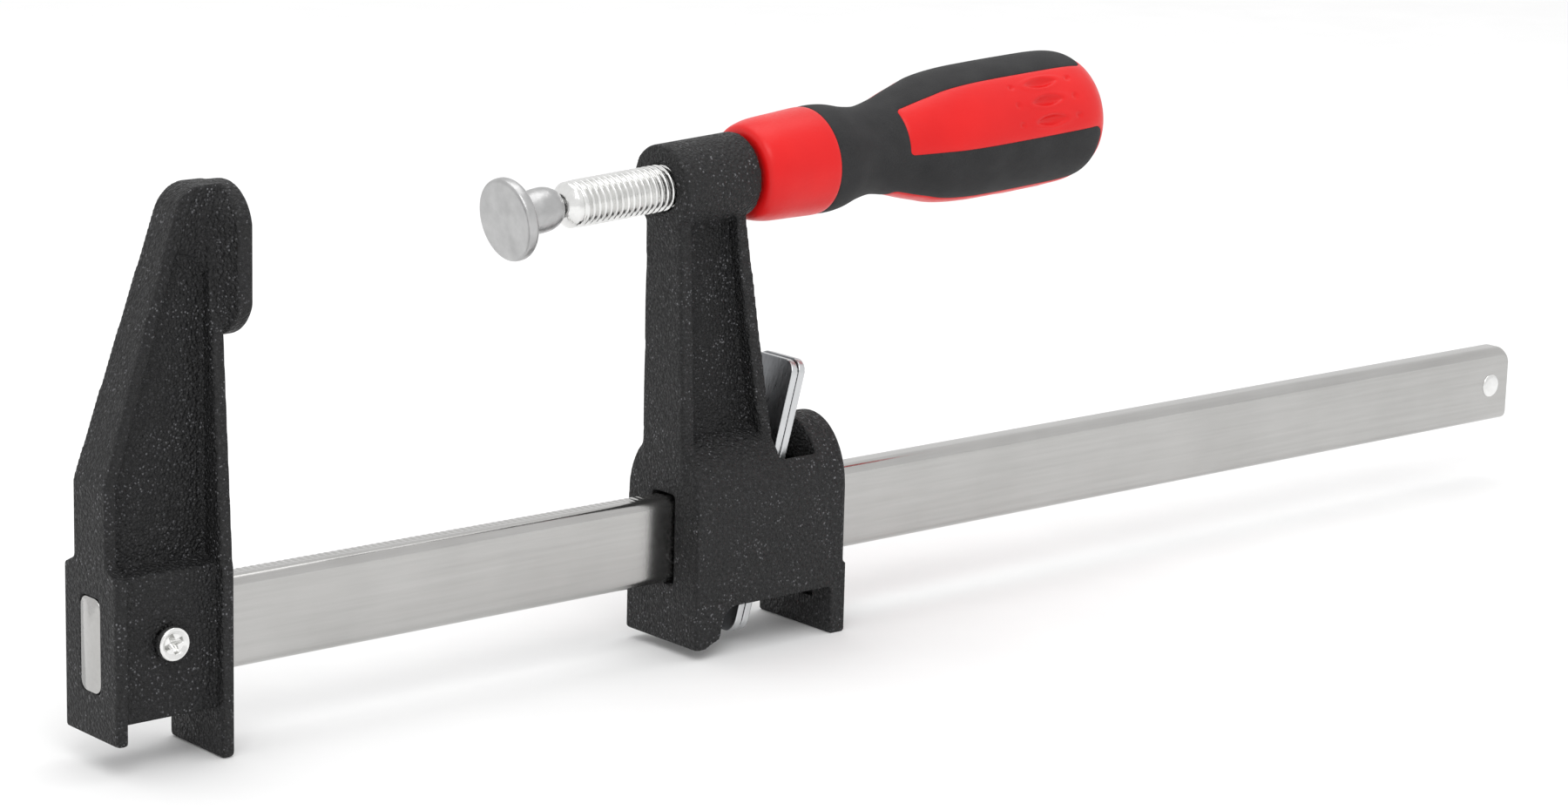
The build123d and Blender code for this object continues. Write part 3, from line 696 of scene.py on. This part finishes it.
# ======================= handle =======================
HANDLE_S0 = 21.3
HANDLE_S1 = 122.1
COLLAR_S1 = 40.0
HANDLE_PROFILE = [
    (11.85, COLLAR_S1), (11.6, 45.0), (10.4, 50.0), (9.8, 54.5), (10.1, 58.0), (11.0, 62.0), (12.2, 66.0),
    (13.15, 69.5), (14.3, 74.0), (15.0, 81.0), (15.2, 90.0), (15.2, 103.0), (15.1, 109.0),
    (14.8, 112.6), (14.1, 115.3), (12.7, 117.5), (10.4, 119.2), (7.4, 120.6), (3.8, 121.65),
    (0.0, HANDLE_S1),
]
COLLAR_PROFILE = [
    (8.9, HANDLE_S0), (9.6, 21.45), (10.15, 22.1), (10.6, 23.1), (11.2, 26.2), (11.5, 32.0),
    (11.85, COLLAR_S1),
]
COLLAR_BORE_R = 5.25
COLLAR_BORE_DEPTH = 1.6
PANEL_S0 = 61.0
CAP_S0 = 116.2
PANEL_CENTRE = 62.5
PANEL_SPAN = 60.5
PANEL_COUNT = 3
EDGE_DEPTH = 0.22
EDGE_WIDTH = 0.45
EDGE_LAP = 1.6
SKIN_CLEAR = 0.05


def handle_radius(s):
    profile = np.array(COLLAR_PROFILE[:-1] + HANDLE_PROFILE)
    curve = smooth_profile(profile, 0.2)
    order = np.argsort(curve[:, 1])
    return np.interp(s, curve[order, 1], curve[order, 0])


def panel_offset(turn):
    """Signed angle, in degrees, from the nearest panel's centre line."""
    period = 360 / PANEL_COUNT
    return (turn - PANEL_CENTRE + period / 2) % period - period / 2


def rounded_box(u, v, half_u, half_v, corner):
    """Signed distance to a rounded rectangle, negative inside."""
    du, dv = np.abs(u) - half_u + corner, np.abs(v) - half_v + corner
    outside = np.hypot(np.maximum(du, 0), np.maximum(dv, 0))
    return outside + np.minimum(np.maximum(du, dv), 0) - corner


def skin_distance(turn, s, radius):
    """Millimetres outside the soft skin: positive on the red collar, panels and end cap."""
    across = np.radians(np.abs(panel_offset(turn))) * radius
    half = math.radians(PANEL_SPAN / 2) * radius
    length = (CAP_S0 + 20 - PANEL_S0) / 2
    panel = -rounded_box(across, s - (PANEL_S0 + length), half, length, 1.0)
    gap_half = math.radians(180 / PANEL_COUNT - PANEL_SPAN / 2) * radius
    gap_across = math.radians(180 / PANEL_COUNT) * radius - across
    strip = rounded_box(gap_across, s - (CAP_S0 - 40), gap_half, 40, 3.0)
    beyond = np.where(s > PANEL_S0 + 8, strip, -99)
    collar = COLLAR_S1 - s
    return np.maximum(np.maximum(panel, beyond), collar)


DENT_S = 99.5
DENT_TURNS = (-17.0, 0.0, 17.0)
DENT_HALF_L = 5.0
DENT_HALF_W = 1.35
DENT_DEPTH = 1.0
DENT_RIM = 0.10
PIP_S = (90.5, 107.8)
PIP_R = 0.8
PIP_DEPTH = 0.42


def dents(turn, s, radius):
    """Depth of the grip marks pressed into each red panel: long lens shapes and round pips."""
    depth = np.zeros(np.broadcast(turn, s).shape)
    local = panel_offset(turn)
    for centre in DENT_TURNS:
        across = np.radians(local - centre) * radius
        along = s - DENT_S
        width = DENT_HALF_W * np.clip(1 - (along / DENT_HALF_L) ** 2, 0, 1)
        inside = np.clip(1 - (across / np.maximum(width, 1e-6)) ** 2, 0, 1)
        depth += DENT_DEPTH * inside * np.clip(width / DENT_HALF_W, 0, 1)
        rim = np.hypot(across, along * DENT_HALF_W / DENT_HALF_L) / DENT_HALF_W
        depth -= DENT_RIM * np.exp(-((rim - 1.15) / 0.22) ** 2)
        for pip in PIP_S:
            distance = np.hypot(across, s - pip)
            depth += PIP_DEPTH * np.clip(1 - (distance / PIP_R) ** 2, 0, 1)
    return depth


def graded(low, high, marks, coarse, fine, reach):
    """Grid lines from low to high, closer together within reach of each mark."""
    lines = [low]
    while lines[-1] < high:
        gap = min(abs(lines[-1] - mark) for mark in marks)
        share = min(1.0, max(0.0, (gap - reach) / (3 * reach)))
        lines.append(lines[-1] + fine + (coarse - fine) * share)
    lines[-1] = high
    return np.array(lines)


def add_handle_shell(name, node, slot, rows):
    mesh = weld(grid_mesh(name, rows))
    mesh.transform(AXIS)
    new_piece(name, mesh, node, "screw", slot)


def make_handle():
    """The red core and the grey skin share one grid, and each sinks under the other past the seam."""
    edge_turns = []
    for index in range(PANEL_COUNT):
        centre = PANEL_CENTRE + index * 360 / PANEL_COUNT
        edge_turns += [centre - PANEL_SPAN / 2, centre + PANEL_SPAN / 2]
    wrapped = edge_turns + [t - 360 for t in edge_turns] + [t + 360 for t in edge_turns]
    turns = graded(0, 360, wrapped, 1.2, 0.55, 4.0)[:-1]
    lengths = graded(HANDLE_S0, HANDLE_S1, (COLLAR_S1, PANEL_S0, CAP_S0, DENT_S), 0.5, 0.16, 1.3)
    turn, s = np.meshgrid(turns, lengths)
    radius = handle_radius(s)
    distance = skin_distance(turn, s, np.maximum(radius, 1.0))
    groove = EDGE_DEPTH * np.exp(-np.abs(distance) / EDGE_WIDTH)
    under = np.clip(np.abs(distance) * 1.6, 0, 1.4)
    grown = np.maximum(radius - SKIN_CLEAR, 0)
    depth = dents(turn, s, radius) * np.clip(distance / 1.5, 0, 1)
    sunk = EDGE_DEPTH + under
    sin, cos = np.sin(np.radians(turn)), np.cos(np.radians(turn))

    def shell(wall):
        wall = np.where(radius < 1.2, np.clip(radius, 0, None), np.maximum(wall, 0.01))
        return np.stack([-sin * wall, cos * wall, s], axis=2)

    red = shell(grown - np.where(distance >= 0, groove, sunk) - depth)
    mouth = red[:1].copy()
    mouth[..., :2] *= COLLAR_BORE_R / COLLAR_PROFILE[0][0]
    deep = mouth.copy()
    deep[..., 2] += COLLAR_BORE_DEPTH
    add_handle_shell("handle_core_red", "handle_core", "red_plastic", np.concatenate([deep, mouth, red]))

    grey = shell(grown - np.where(distance <= 0, groove, sunk))
    covered = (lengths > COLLAR_S1 - EDGE_LAP) & (lengths < CAP_S0 + EDGE_LAP)
    add_handle_shell("handle_grip_skin", "handle_grip", "charcoal_rubber", grey[covered])


# ======================= build =======================
CAST_VOXEL = 0.40
CAST_ROUNDS = 5
PLATE_VOXEL = 0.22
PLATE_ROUNDS = 2

make_bar()
make_spindle()
make_pad()
make_stop_pin()
make_jaw_screw()
make_handle()
for name, node, body, slot, voxel, rounds in (
    ("fixed_jaw_casting", "fixed_jaw", "frame", "black_paint", CAST_VOXEL, CAST_ROUNDS),
    ("sliding_jaw_casting", "sliding_jaw", "slider", "black_paint", CAST_VOXEL, CAST_ROUNDS),
    ("clutch_plate_a", "clutch_plate_front", "clutch", "plate_steel", PLATE_VOXEL, PLATE_ROUNDS),
    ("clutch_plate_b", "clutch_plate_rear", "clutch", "plate_steel", PLATE_VOXEL, PLATE_ROUNDS),
):
    new_piece(name, cast_skin(node, voxel, rounds), node, body, slot)
make_spring()
pad_ring = frame["nodes"]["pad_ring"]
pad_ring.data.materials.clear()
pad_ring.data.materials.append(MATERIALS["spring_steel"])


# ======================= studio =======================
FLOOR_HALF = 6.0
STUDIO_CENTRE = (0.18, 0, 0.04)


def add_floor():
    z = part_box("fixed_jaw")[0].z
    corners = [(x * FLOOR_HALF, y * FLOOR_HALF, z) for x, y in ((-1, -1), (1, -1), (1, 1), (-1, 1))]
    mesh = bpy.data.meshes.new("floor")
    mesh.from_pydata(corners, [], [(0, 1, 2, 3)])
    floor = bpy.data.objects.new("floor", mesh)
    bpy.context.scene.collection.objects.link(floor)
    shader = Shader("floor_paper", Roughness=0.9)
    grain = shader.noise(30, 2)
    shader.base(shader.ramp(grain, (0.3, (0.88, 0.88, 0.88)), (0.7, (0.90, 0.90, 0.90))))
    mesh.materials.append(shader.material)


def add_light(name, at, size, watts):
    data = bpy.data.lights.new(name, "AREA")
    data.shape = "RECTANGLE"
    data.size, data.size_y = size
    data.energy = watts
    light = bpy.data.objects.new(name, data)
    light.location = at
    light.rotation_mode = "QUATERNION"
    light.rotation_quaternion = (Vector(STUDIO_CENTRE) - Vector(at)).to_track_quat("-Z", "Y")
    bpy.context.scene.collection.objects.link(light)


def add_world(strength):
    world = bpy.data.worlds.new("studio")
    world.use_nodes = True
    background = world.node_tree.nodes["Background"]
    background.inputs["Color"].default_value = (1, 1, 1, 1)
    background.inputs["Strength"].default_value = strength
    bpy.context.scene.world = world


bpy.context.scene.view_settings.view_transform = "Standard"
add_camera()
add_floor()
add_world(0.95)
add_light("key", (-0.5, -0.9, 1.3), (0.9, 0.9), 7)
add_light("top", (0.3, 0.2, 1.4), (1.2, 1.0), 5)
